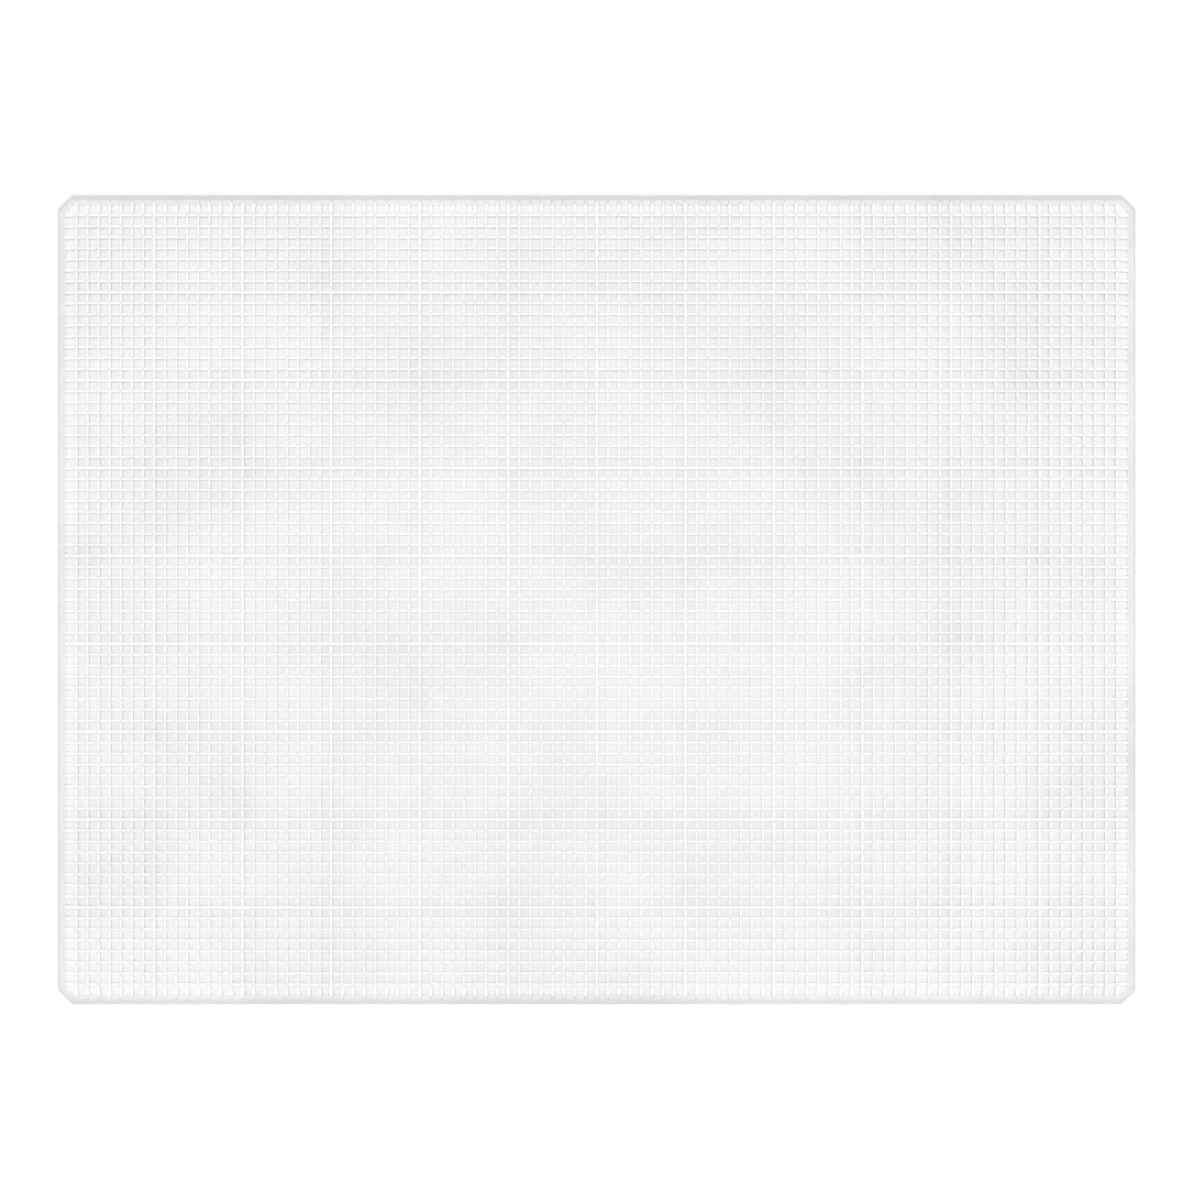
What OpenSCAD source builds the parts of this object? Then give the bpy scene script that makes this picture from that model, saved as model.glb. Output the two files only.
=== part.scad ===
// Queen excluder: a flat plastic lattice that lies between two boxes of a beehive.
// Four rails and four corner pieces make the rim. Full-height main bars cross from rail
// to rail and divide the opening into bays, and thin strands fill every bay with square
// openings that worker bees pass and a queen does not. Ribs that run along X lie in the
// lower half of the thickness and ribs that run along Y in the upper half, so each pair
// of ribs is welded where it crosses. Main bars are notched for every rib that they meet.
// The origin is at the centre of the underside, and Z points up.

/* [Grid] */
// Bays between main bars along X
bays_x = 12; // [2:1:16]
// Bays between main bars along Y
bays_y = 9; // [2:1:12]
// Openings across one bay, the same both ways
cells_per_bay = 8; // [4:1:10]
// Distance between the middles of two neighbouring ribs along X
pitch_x = 5.2; // [4.8:0.01:6]
// Distance between the middles of two neighbouring ribs along Y
pitch_y = 5.16; // [4.8:0.01:6]

/* [Ribs] */
// Width of a thin strand
strand_w = 1; // [0.6:0.1:1.2]
// Width of a main bar
bar_w = 1.4; // [1.2:0.1:2.4]

/* [Rim] */
// Thickness of the panel
thick = 3; // [2.6:0.2:5]
// Width of the front and back rails
long_rail_w = 4.4; // [4.4:0.1:8]
// Width of the left and right rails
side_rail_w = 3.6; // [3.4:0.1:8]
// Length that each cut corner takes off both sides
corner_cut = 6.5; // [2:0.5:6.5]
// Length of the web behind each cut corner, along both sides of the opening
gusset = 3.2; // [1:0.1:3.8]
// Width of the bevel along the upper outer edge of the front and back rails
long_bevel = 2.5; // [0.2:0.1:2.5]
// Width of the same bevel on the left and right rails
side_bevel = 1; // [0.2:0.1:1.5]
// Width of the same bevel along each cut corner
corner_bevel = 1.4; // [0.2:0.1:1.5]
// Height that every bevel takes off the outer face
bevel_drop = 1.4; // [0.2:0.1:2]

/* [Joints] */
// Depth to which a rib end enters a rail
seat = 1.8; // [1:0.1:1.8]
// Room on each side of a rib in its notch
slot_play = 0.05; // [0.02:0.01:0.1]

/* [Hidden] */
layer = thick / 2;
cells_x = bays_x * cells_per_bay;
cells_y = bays_y * cells_per_bay;
opening_w = cells_x * pitch_x;
opening_d = cells_y * pitch_y;
panel_w = opening_w + 2 * side_rail_w;
panel_d = opening_d + 2 * long_rail_w;

// Half of the length of a rib, with its ends in the rails
reach_x = opening_w / 2 + seat - slot_play;
reach_y = opening_d / 2 + seat - slot_play;

// Half of the length of the rails between two corner pieces
span_x = opening_w / 2 - gusset;
span_y = opening_d / 2 - gusset;

// How far the tongue at the end of a rail enters a corner piece
tongue = 0.75 * gusset;

// How far a cutter runs past the face that it opens
past = 1;

LONG_BARS = [for (k = [1 : bays_y - 1]) str("long_bar_", k)];
CROSS_BARS = [for (k = [1 : bays_x - 1]) str("cross_bar_", k)];
LONG_STRANDS = [for (k = [1 : bays_y]) str("long_strands_", k)];
CROSS_STRANDS = [for (k = [1 : bays_x]) str("cross_strands_", k)];

// Place and width of grid line number i, counted from the left or from the front.
// Every line that ends a bay carries a main bar.
function line_x(i) = -opening_w / 2 + i * pitch_x;
function line_y(i) = -opening_d / 2 + i * pitch_y;
function rib_w(i) = i % cells_per_bay == 0 ? bar_w : strand_w;

module box_between(low, high) {
    translate(low)
        cube(high - low);
}

// A rib along X, centred on the line y, between the heights z0 and z1
module rib_along_x(y, width, half_length, z0, z1) {
    box_between([-half_length, y - width / 2, z0], [half_length, y + width / 2, z1]);
}

// The same along Y
module rib_along_y(x, width, half_length, z0, z1) {
    box_between([x - width / 2, -half_length, z0], [x + width / 2, half_length, z1]);
}

// Room for every rib along X, in the lower layer
module lower_slots() {
    for (i = [1 : cells_y - 1])
        rib_along_x(line_y(i), rib_w(i) + 2 * slot_play, reach_x + slot_play, -past, layer);
}

// Room for every rib along Y, in the upper layer
module upper_slots() {
    for (i = [1 : cells_x - 1])
        rib_along_y(line_x(i), rib_w(i) + 2 * slot_play, reach_y + slot_play, layer, thick + past);
}

// A rectangle whose four corners are cut off at 45 degrees
module cut_rectangle(w, d, cut) {
    polygon([
        [w / 2 - cut, -d / 2],
        [w / 2, -d / 2 + cut],
        [w / 2, d / 2 - cut],
        [w / 2 - cut, d / 2],
        [-w / 2 + cut, d / 2],
        [-w / 2, d / 2 - cut],
        [-w / 2, -d / 2 + cut],
        [-w / 2 + cut, -d / 2]
    ]);
}

// Cuts the bevel of an upper edge. The edge runs along X through the origin, with the
// outer face towards +Y.
module bevel_cutter(length, width) {
    rotate([90, 0, 90])
        linear_extrude(length, center = true)
            polygon([
                [-width, 0],
                [past, -bevel_drop * (1 + past / width)],
                [past, past],
                [-width, past]
            ]);
}

// The whole rim before it is divided into rails and corner pieces
module rim() {
    difference() {
        linear_extrude(thick)
            difference() {
                cut_rectangle(panel_w, panel_d, corner_cut);
                cut_rectangle(opening_w, opening_d, gusset);
            }
        for (turn = [0, 180]) {
            rotate(turn)
                translate([0, panel_d / 2, thick])
                    bevel_cutter(panel_w, long_bevel);
            rotate(turn - 90)
                translate([0, panel_w / 2, thick])
                    bevel_cutter(panel_d, side_bevel);
        }
        for (sx = [-1, 1], sy = [-1, 1])
            translate([sx * (panel_w - corner_cut) / 2, sy * (panel_d - corner_cut) / 2, thick])
                rotate(atan2(sy, sx) - 90)
                    bevel_cutter(2 * corner_cut, corner_bevel);
    }
}

// The tongue at the right end of the back rail, or with play the room for it
module long_tongue(play = 0) {
    y = opening_d / 2;
    box_between(
        [span_x - past, y - play, -past],
        [span_x + tongue + play, y + seat + play, layer + play]
    );
}

// The tongue at the back end of the right rail, or with play the room for it
module side_tongue(play = 0) {
    x = opening_w / 2;
    box_between(
        [x - play, span_y - past, -past],
        [x + seat + play, span_y + tongue + play, layer + play]
    );
}

// The back rail, or the front one when it is turned by 180 degrees. Upper slots hold
// the ends of the ribs along Y.
module long_rail(turn) {
    color("gainsboro")
        rotate(turn)
            difference() {
                intersection() {
                    rim();
                    union() {
                        box_between([-span_x, 0, -past], [span_x, panel_d, thick + past]);
                        long_tongue();
                        mirror([1, 0, 0])
                            long_tongue();
                    }
                }
                upper_slots();
            }
}

// The right rail, or the left one when it is turned by 180 degrees. Lower slots hold
// the ends of the ribs along X.
module side_rail(turn) {
    color("gainsboro")
        rotate(turn)
            difference() {
                intersection() {
                    rim();
                    union() {
                        box_between([0, -span_y, -past], [panel_w, span_y, thick + past]);
                        side_tongue();
                        mirror([0, 1, 0])
                            side_tongue();
                    }
                }
                lower_slots();
            }
}

// A cut corner of the rim with its web. Two rail tongues enter it from below. It is
// made at the back right and mirrored to the side that sx and sy name.
module corner_piece(sx, sy) {
    color("gainsboro")
        mirror([sx < 0 ? 1 : 0, 0, 0])
            mirror([0, sy < 0 ? 1 : 0, 0])
                difference() {
                    intersection() {
                        rim();
                        box_between([span_x, span_y, -past], [panel_w, panel_d, thick + past]);
                    }
                    long_tongue(slot_play);
                    side_tongue(slot_play);
                }
}

// A main bar along X. Only its lower half enters the side rails.
module long_bar(k) {
    y = line_y(k * cells_per_bay);
    color("white")
        difference() {
            union() {
                rib_along_x(y, bar_w, reach_x, 0, layer);
                rib_along_x(y, bar_w, opening_w / 2, 0, thick);
            }
            upper_slots();
        }
}

// A main bar along Y. Only its upper half enters the front and back rails.
module cross_bar(k) {
    x = line_x(k * cells_per_bay);
    color("white")
        difference() {
            union() {
                rib_along_y(x, bar_w, reach_y, layer, thick);
                rib_along_y(x, bar_w, opening_d / 2, 0, thick);
            }
            lower_slots();
        }
}

// The thin strands along X in bay number k, counted from the front
module long_strands(k) {
    first = (k - 1) * cells_per_bay;
    color("whitesmoke")
        for (i = [1 : cells_per_bay - 1])
            rib_along_x(line_y(first + i), strand_w, reach_x, 0, layer);
}

// The thin strands along Y in bay number k, counted from the left
module cross_strands(k) {
    first = (k - 1) * cells_per_bay;
    color("whitesmoke")
        for (i = [1 : cells_per_bay - 1])
            rib_along_y(line_x(first + i), strand_w, reach_y, layer, thick);
}

long_rail(180);  // front_rail
long_rail(0);  // back_rail
side_rail(180);  // left_rail
side_rail(0);  // right_rail
corner_piece(-1, -1);  // front_left_corner
corner_piece(1, -1);  // front_right_corner
corner_piece(-1, 1);  // back_left_corner
corner_piece(1, 1);  // back_right_corner
for (k = [1 : bays_y - 1])
    long_bar(k);
for (k = [1 : bays_x - 1])
    cross_bar(k);
for (k = [1 : bays_y])
    long_strands(k);
for (k = [1 : bays_x])
    cross_strands(k);
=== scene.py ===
"""Looks of the queen excluder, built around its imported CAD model.

Each CAD strand group and main bar is replaced by a moulded rib mesh of the same length, width and place,
with rounded edges, filleted crossings and slightly sunk welds. Rails and corner pieces keep their CAD shape
and get softened edges. Everything is satin, slightly translucent plastic on a white studio floor, seen from
straight above.
"""

import math
import random

import bpy
import numpy as np
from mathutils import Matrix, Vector


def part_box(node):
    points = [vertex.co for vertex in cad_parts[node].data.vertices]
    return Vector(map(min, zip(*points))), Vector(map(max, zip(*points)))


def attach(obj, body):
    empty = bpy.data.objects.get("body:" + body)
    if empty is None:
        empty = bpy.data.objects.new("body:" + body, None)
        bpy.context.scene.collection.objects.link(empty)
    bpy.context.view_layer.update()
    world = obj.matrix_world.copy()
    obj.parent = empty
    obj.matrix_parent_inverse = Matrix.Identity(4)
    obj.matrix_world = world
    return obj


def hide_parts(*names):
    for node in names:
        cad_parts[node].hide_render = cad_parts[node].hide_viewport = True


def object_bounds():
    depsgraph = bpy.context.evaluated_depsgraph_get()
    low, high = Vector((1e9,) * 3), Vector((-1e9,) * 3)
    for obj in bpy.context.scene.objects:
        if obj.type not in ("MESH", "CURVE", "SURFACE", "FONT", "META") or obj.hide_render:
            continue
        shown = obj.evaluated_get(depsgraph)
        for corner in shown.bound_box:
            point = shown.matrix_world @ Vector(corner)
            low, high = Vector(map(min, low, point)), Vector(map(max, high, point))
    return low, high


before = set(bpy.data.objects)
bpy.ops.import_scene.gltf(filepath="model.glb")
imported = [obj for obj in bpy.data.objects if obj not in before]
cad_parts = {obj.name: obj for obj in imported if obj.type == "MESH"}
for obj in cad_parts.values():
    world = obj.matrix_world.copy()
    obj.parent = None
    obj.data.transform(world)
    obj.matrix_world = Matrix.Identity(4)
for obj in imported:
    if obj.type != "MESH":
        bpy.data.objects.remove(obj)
CAD_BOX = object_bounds()
LOW, HIGH = CAD_BOX

MM = 0.001
CELLS_PER_BAY = 8  # openings between two main bars
SEED = 11

# Moulded ribs
EDGE_ROUND = 0.22 * MM  # rounding of a rib's upper edges
FOOT_BEVEL = 0.10 * MM  # bevel of its lower edges
DRAFT = 0.22 * MM  # how much further in each side lies at the foot than under the rounded edge
FILLET = 0.45 * MM  # radius in the corners of an opening
FILLET_STEPS = (0.0, 0.3, 1.0)  # where such a corner is sampled, as shares of its length
FLARE = 0.30 * MM  # how much wider each side of a rib is at the rail than one opening away from it
WELD_SINK = 0.05 * MM  # dip of the upper face over a crossing
END_SINK = 0.15 * MM  # dip of the upper face where a rib enters a rail
WANDER = 0.03 * MM  # sideways wander of a rib
WANDER_WAVES = (1.5, 4.5)  # waves along the rib's length that make it up
RIB_TOP = {"bar": 0.0, "cross": 0.06 * MM, "long": 0.12 * MM}  # depth below the rim of bars and strands
FOOT_GAP = {"long": 0.0, "cross": 0.03 * MM}  # keeps crossing undersides from lying in one plane

# Rim
SOFT_EDGE = 0.12 * MM  # width of the bevel that softens each edge

# Plastic
REFRACTION = 1.49
SCATTER_SHARE = 0.7
SCATTER_REACH = 0.7 * MM
CLOUDS, MOTTLE, GRAIN = 14.0, 260.0, 1900.0  # patches per metre, from large to small
MOTTLE_WEIGHT = 0.35  # how much the mottle counts in the tone, next to clouds at 1
DARKEST_SUM, LIGHTEST_SUM = 0.54, 0.80  # weighted sums at which the tone is fully dark or light
GLOSSIEST, DULLEST = 0.38, 0.52  # roughness
GRAIN_DEPTH = 0.02 * MM

# A face's normal times its place is near zero on level faces, and this large on the rim's walls and bevels.
# It grades where the rim's painted shade and painted emission fall.
LEVEL_DOT = 0.02
LEANING_DOT = 0.08

# How much of a face's normal points up or down: this little on walls, and this much on level faces.
# It grades the painted emission on walls.
WALL_RISE = 0.2
LEVEL_RISE = 0.7

# Studio
FLOOR_REACH = 5.0  # from its middle to each side
FLOOR_GAP = 0.05 * MM
CAMERA_DISTANCE = 1.2
PICTURE_SHARE = 0.898583  # of the picture's width that the panel fills
CAMERA_SHIFT = (0.002667, -0.000167)  # from above the panel's middle, in picture widths to the right and back


# ---------------------------------------------------------------- grid


def span(cad_node, axis):
    """A CAD node's lowest and highest coordinate along one axis."""
    low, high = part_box(cad_node)
    return low[axis], high[axis]


def middle(cad_node, axis):
    return sum(span(cad_node, axis)) / 2


def numbered(kind):
    """The nodes called kind_1, kind_2 and so on, in that order."""
    names = [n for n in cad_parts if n.rsplit("_", 1)[0] == kind]
    return sorted(names, key=lambda n: int(n.rsplit("_", 1)[1]))


class RibFamily:
    """All ribs that run one way: where their lines lie, and how wide each rib is."""

    def __init__(self, kind, run_axis):
        self.kind = kind
        self.run_axis = run_axis
        self.cross_axis = 1 - run_axis
        self.bars = numbered(kind + "_bar")
        self.strand_groups = numbered(kind + "_strands")
        first, second = (middle(n, self.cross_axis) for n in self.bars[:2])
        bay = second - first
        self.pitch = bay / CELLS_PER_BAY
        self.count = len(self.strand_groups) * CELLS_PER_BAY
        self.start = first - bay
        low, high = span(self.bars[0], self.cross_axis)
        self.bar_w = high - low
        low, high = span(self.strand_groups[0], self.cross_axis)
        self.strand_w = high - low - (CELLS_PER_BAY - 2) * self.pitch
        self.ends = span(self.bars[0], run_axis)

    def line(self, i):
        return self.start + i * self.pitch

    def width(self, i):
        return self.bar_w if i % CELLS_PER_BAY == 0 else self.strand_w

    def opening(self):
        """Where the rails' inner faces lie across these ribs."""
        return self.line(0), self.line(self.count)


LONG = RibFamily("long", 0)
CROSS = RibFamily("cross", 1)


# ---------------------------------------------------------------- rib meshes


def fillet_width(step):
    """How far a corner's fillet stands out from the rib at a share of its length."""
    return FILLET * (1 - math.sqrt(2 * step - step * step))


def wall_stations(wall, direction):
    """Stations beside a wall, as (place, extra half-width, dip), going away from it."""
    return [(wall + direction * s * FILLET, fillet_width(s), 0.0) for s in FILLET_STEPS]


def rail_stations(wall, direction):
    """The same beside a rail, where the upper face also rises from its dip."""
    beside = wall_stations(wall, direction)
    return [(place, extra, END_SINK * (1 - s)) for (place, extra, _), s in zip(beside, FILLET_STEPS)]


def rib_stations(family, other, filleted):
    """Stations along a rib of family, from end to end, as (place, extra half-width, dip).

    The ribs of one family carry the fillets at every crossing. The other family's ribs are plain there.
    """
    near, far = other.opening()
    start, stop = family.ends
    stations = [(start, 0.0, END_SINK), (near - FILLET / 2, 0.0, END_SINK)]
    stations += rail_stations(near, 1)
    for i in range(1, other.count):
        line = other.line(i)
        half = other.width(i) / 2
        if filleted:
            stations += reversed(wall_stations(line - half, -1))
            stations += wall_stations(line + half, 1)
        else:
            if i > 1:
                stations.append((line - other.pitch / 2, 0.0, 0.0))
            stations.append((line, 0.0, WELD_SINK))
    stations += reversed(rail_stations(far, -1))
    stations += [(far + FILLET / 2, 0.0, END_SINK), (stop, 0.0, END_SINK)]
    return np.array(stations)


def flare(place, family):
    """Extra half-width of a rib between the rail and the first crossing, at each place along it."""
    other = CROSS if family is LONG else LONG
    near, far = other.opening()
    from_rail = np.minimum(place - near, far - place)
    return FLARE * np.clip(1 - from_rail / other.pitch, 0, 1) * (from_rail >= 0)


def rib_section(foot, top):
    """Points round a rib's section, from the left foot on, as (side, inset, height, share of the dip)."""
    quarter = EDGE_ROUND * (1 - math.sqrt(0.5))
    left = [
        (DRAFT + FOOT_BEVEL, foot, 0.0),
        (DRAFT, foot + FOOT_BEVEL, 0.0),
        (0.0, top - EDGE_ROUND, 1.0),
        (quarter, top - quarter, 1.0),
        (EDGE_ROUND, top, 1.0),
    ]
    return [(-1, *p) for p in left] + [(1, *p) for p in reversed(left)]


def rib_mesh(family, i, stations, section, rng):
    """Vertices and faces of one rib, swept along its line with a slow sideways wander."""
    place, extra, dip = stations.T
    half = family.width(i) / 2 + extra + flare(place, family)
    length = family.ends[1] - family.ends[0]
    wander = np.zeros(len(place))
    for waves in WANDER_WAVES:
        phase = rng.uniform(0, 2 * math.pi)
        wander += WANDER / waves * np.sin(place / length * 2 * math.pi * waves + phase)
    wander -= np.interp(place, family.ends, (wander[0], wander[-1]))
    points = np.zeros((len(place), len(section), 3))
    for k, (side, inset, height, sinks) in enumerate(section):
        points[:, k, family.run_axis] = place
        points[:, k, family.cross_axis] = family.line(i) + wander + side * (half - inset)
        points[:, k, 2] = height - sinks * dip
    rings, sides = points.shape[:2]
    corner = np.arange(rings * sides).reshape(rings, sides)
    ahead = np.roll(corner, -1, axis=1)
    quads = np.stack([corner[:-1], corner[1:], ahead[1:], ahead[:-1]], axis=-1).reshape(-1, 4)
    faces = quads.tolist() + [corner[0].tolist(), corner[-1][::-1].tolist()]
    return points.reshape(-1, 3), faces


def mesh_object(name, parts):
    """One object out of several (vertices, faces) pairs. Only the ribs' end faces are flat-shaded."""
    points, faces, first = [], [], 0
    for verts, polygons in parts:
        points.append(verts)
        faces += [[first + v for v in f] for f in polygons]
        first += len(verts)
    mesh = bpy.data.meshes.new(name)
    mesh.from_pydata(np.concatenate(points).tolist(), [], faces)
    mesh.update()
    mesh.polygons.foreach_set("use_smooth", [len(f) == 4 for f in faces])
    obj = bpy.data.objects.new(name, mesh)
    bpy.context.scene.collection.objects.link(obj)
    return obj


def moulded(cad_node, family, lines, kind, filleted, materials, rng):
    """The visible ribs that stand for one CAD node, which is a bar or a group of strands."""
    other = CROSS if family is LONG else LONG
    stations = rib_stations(family, other, filleted)
    top = RIB_TOP["bar"] if kind == "bar" else RIB_TOP[family.kind]
    section = rib_section(LOW.z + FOOT_GAP[family.kind], HIGH.z - top)
    obj = mesh_object("moulded_" + cad_node, [rib_mesh(family, i, stations, section, rng) for i in lines])
    obj.data.materials.append(materials[kind])
    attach(obj, "root")
    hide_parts(cad_node)


def make_ribs(family, filleted, materials):
    rng = random.Random(f"{SEED} {family.kind}")
    for k, bar in enumerate(family.bars, start=1):
        lines = [k * CELLS_PER_BAY]
        moulded(bar, family, lines, "bar", filleted, materials, rng)
    for k, group in enumerate(family.strand_groups):
        lines = range(k * CELLS_PER_BAY + 1, (k + 1) * CELLS_PER_BAY)
        moulded(group, family, lines, "strand", filleted, materials, rng)


# ---------------------------------------------------------------- materials


def node(tree, kind, **settings):
    """A shader node. Settings are its own properties, or the values of its inputs."""
    made = tree.nodes.new(kind)
    for key, value in settings.items():
        if hasattr(made, key):
            setattr(made, key, value)
        else:
            made.inputs[key.replace("_", " ").title()].default_value = value
    return made


def map_range(tree, value, low, high, at_low, at_high):
    """A value mapped from low..high to at_low..at_high, and held there beyond the two ends."""
    made = node(tree, "ShaderNodeMapRange")
    for socket, number in (("From Min", low), ("From Max", high), ("To Min", at_low), ("To Max", at_high)):
        made.inputs[socket].default_value = number
    tree.links.new(value, made.inputs["Value"])
    return made.outputs["Result"]


def product(tree, first, second):
    made = node(tree, "ShaderNodeMath", operation="MULTIPLY")
    tree.links.new(first, made.inputs[0])
    tree.links.new(second, made.inputs[1])
    return made.outputs[0]


def outward_lean(tree, place, normal):
    """Above zero on faces that look away from the panel's middle, and below zero on those that look at it."""
    dot = node(tree, "ShaderNodeVectorMath", operation="DOT_PRODUCT")
    tree.links.new(place, dot.inputs[0])
    tree.links.new(normal, dot.inputs[1])
    return dot.outputs["Value"]


def wall_share(tree, normal):
    """1 on walls and 0 on level faces."""
    parts = node(tree, "ShaderNodeSeparateXYZ")
    tree.links.new(normal, parts.inputs[0])
    rise = node(tree, "ShaderNodeMath", operation="ABSOLUTE")
    tree.links.new(parts.outputs["Z"], rise.inputs[0])
    return map_range(tree, rise.outputs[0], WALL_RISE, LEVEL_RISE, 1.0, 0.0)


def plastic(name, dark, light, painted_wall_glow, painted_outward_shade=None):
    """Satin moulded polypropylene: cloudy, with fine mottling and a faint mould grain.

    dark and light are the tones of its clouds. glow is painted light: emission that the walls give off, which
    stands in for light scattered through the plastic and lifts their shade. rubbed is for the rim: painted
    shade that darkens the faces that look outwards. On the rim, only walls that look at the middle keep the
    emission.
    """
    material = bpy.data.materials.new(name)
    material.use_nodes = True
    tree = material.node_tree
    shader = tree.nodes["Principled BSDF"]
    shader.inputs["IOR"].default_value = REFRACTION
    shader.inputs["Subsurface Weight"].default_value = SCATTER_SHARE
    shader.inputs["Subsurface Radius"].default_value = (1.0, 1.0, 1.0)
    shader.inputs["Subsurface Scale"].default_value = SCATTER_REACH
    shader.inputs["Emission Color"].default_value = (1.0, 1.0, 1.0, 1.0)

    coordinates = node(tree, "ShaderNodeTexCoord")
    place = coordinates.outputs["Object"]
    normal = coordinates.outputs["Normal"]
    clouds = node(tree, "ShaderNodeTexNoise", scale=CLOUDS, detail=4.0, roughness=0.55)
    mottle = node(tree, "ShaderNodeTexNoise", scale=MOTTLE, detail=2.0, roughness=0.6)
    grain = node(tree, "ShaderNodeTexNoise", scale=GRAIN, detail=2.0, roughness=0.6)
    for noise in (clouds, mottle, grain):
        tree.links.new(place, noise.inputs["Vector"])

    mixed = node(tree, "ShaderNodeMath", operation="MULTIPLY_ADD")
    mixed.inputs[1].default_value = MOTTLE_WEIGHT
    tree.links.new(mottle.outputs["Fac"], mixed.inputs[0])
    tree.links.new(clouds.outputs["Fac"], mixed.inputs[2])
    colour = node(tree, "ShaderNodeMix", data_type="RGBA")
    colour.inputs["A"].default_value = (dark, dark, dark, 1)
    colour.inputs["B"].default_value = (light, light, light, 1)
    lightness = map_range(tree, mixed.outputs[0], DARKEST_SUM, LIGHTEST_SUM, 0.0, 1.0)
    tree.links.new(lightness, colour.inputs["Factor"])
    base = colour.outputs["Result"]
    # Painted light: emission on the walls, full on walls and none on level faces.
    painted_glow = map_range(tree, wall_share(tree, normal), 0.0, 1.0, 0.0, painted_wall_glow)

    # Painted shade on the rim: faces that look away from the panel's middle are darkened, and the painted
    # emission stays only on walls that look at the middle.
    if painted_outward_shade is not None:
        lean = outward_lean(tree, place, normal)
        painted_shade = node(tree, "ShaderNodeVectorMath", operation="SCALE")
        tree.links.new(base, painted_shade.inputs[0])
        tree.links.new(map_range(tree, lean, LEVEL_DOT, LEANING_DOT, 1.0, painted_outward_shade), painted_shade.inputs["Scale"])
        base = painted_shade.outputs["Vector"]
        painted_glow = product(tree, painted_glow, map_range(tree, lean, -LEANING_DOT, -LEVEL_DOT, 1.0, 0.0))

    tree.links.new(base, shader.inputs["Base Color"])
    tree.links.new(painted_glow, shader.inputs["Emission Strength"])
    dullness = map_range(tree, mottle.outputs["Fac"], 0.0, 1.0, GLOSSIEST, DULLEST)
    tree.links.new(dullness, shader.inputs["Roughness"])

    bump = node(tree, "ShaderNodeBump", strength=0.25, distance=GRAIN_DEPTH)
    tree.links.new(grain.outputs["Fac"], bump.inputs["Height"])
    tree.links.new(bump.outputs["Normal"], shader.inputs["Normal"])
    return material


def studio_floor_material():
    """Plain matt white paper."""
    material = bpy.data.materials.new("studio_paper")
    material.use_nodes = True
    tree = material.node_tree
    shader = tree.nodes["Principled BSDF"]
    shader.inputs["Base Color"].default_value = (0.99, 0.99, 0.99, 1)
    shader.inputs["Roughness"].default_value = 0.95
    shader.inputs["Specular IOR Level"].default_value = 0.1
    return material


# ---------------------------------------------------------------- rim


def dress_rim_piece(name, material):
    """Keeps a rail's or corner piece's CAD shape, softens its edges and gives it its plastic."""
    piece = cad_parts[name]
    piece.data.materials.clear()
    piece.data.materials.append(material)
    soft = piece.modifiers.new("soft_edges", "BEVEL")
    soft.width = SOFT_EDGE
    soft.segments = 2
    soft.limit_method = "ANGLE"
    soft.harden_normals = True


# ---------------------------------------------------------------- studio


def make_floor():
    level = LOW.z - FLOOR_GAP
    corners = [(x * FLOOR_REACH, y * FLOOR_REACH, level) for x, y in ((-1, -1), (1, -1), (1, 1), (-1, 1))]
    mesh = bpy.data.meshes.new("studio_floor")
    mesh.from_pydata(corners, [], [(0, 1, 2, 3)])
    floor = bpy.data.objects.new("studio_floor", mesh)
    floor.data.materials.append(studio_floor_material())
    bpy.context.scene.collection.objects.link(floor)


def make_area_light(name, place, size, power):
    """A round lamp that points at the middle of the panel."""
    lamp = bpy.data.lights.new(name, "AREA")
    lamp.shape = "DISK"
    lamp.size = size
    lamp.energy = power
    obj = bpy.data.objects.new(name, lamp)
    obj.location = place
    obj.rotation_mode = "QUATERNION"
    obj.rotation_quaternion = ((LOW + HIGH) / 2 - Vector(place)).to_track_quat("-Z", "Y")
    bpy.context.scene.collection.objects.link(obj)


def make_lights():
    """A white room, a soft box overhead and a weak key light near the front."""
    world = bpy.data.worlds.new("white_room")
    world.use_nodes = True
    background = world.node_tree.nodes["Background"]
    background.inputs["Color"].default_value = (1, 1, 1, 1)
    background.inputs["Strength"].default_value = 0.82
    bpy.context.scene.world = world
    make_area_light("soft_box", place=(0.0, 0.3, 3.2), size=1.0, power=21)
    make_area_light("key_light", place=(0.35, -1.3, 1.0), size=0.5, power=2.1)


def make_camera():
    """Straight above the panel, far enough away that its depth hardly shows."""
    width = (HIGH.x - LOW.x) / PICTURE_SHARE
    centre = (LOW + HIGH) / 2
    lens = bpy.data.cameras.new("camera")
    lens.lens = lens.sensor_width * CAMERA_DISTANCE / width
    camera = bpy.data.objects.new("camera", lens)
    right, back = CAMERA_SHIFT
    camera.location = (centre.x + right * width, centre.y + back * width, HIGH.z + CAMERA_DISTANCE)
    bpy.context.scene.collection.objects.link(camera)
    bpy.context.scene.camera = camera


# ---------------------------------------------------------------- the scene

make_camera()
make_lights()
make_floor()
bpy.context.scene.view_settings.view_transform = "Standard"

# The ribs' walls get a little painted light as emission.
rib_plastics = {
    "bar": plastic("bar_plastic", dark=0.87, light=0.95, painted_wall_glow=0.015),
    "strand": plastic("strand_plastic", dark=0.91, light=0.99, painted_wall_glow=0.015),
}
make_ribs(LONG, filleted=True, materials=rib_plastics)
make_ribs(CROSS, filleted=False, materials=rib_plastics)

# The rim's walls that look at the middle get painted light as emission, and its faces that look outwards get
# painted shade.
rim_plastic = plastic("rim_plastic", dark=0.75, light=0.82, painted_wall_glow=0.22, painted_outward_shade=0.90)
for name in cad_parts:
    if name.endswith(("_rail", "_corner")):
        dress_rim_piece(name, rim_plastic)
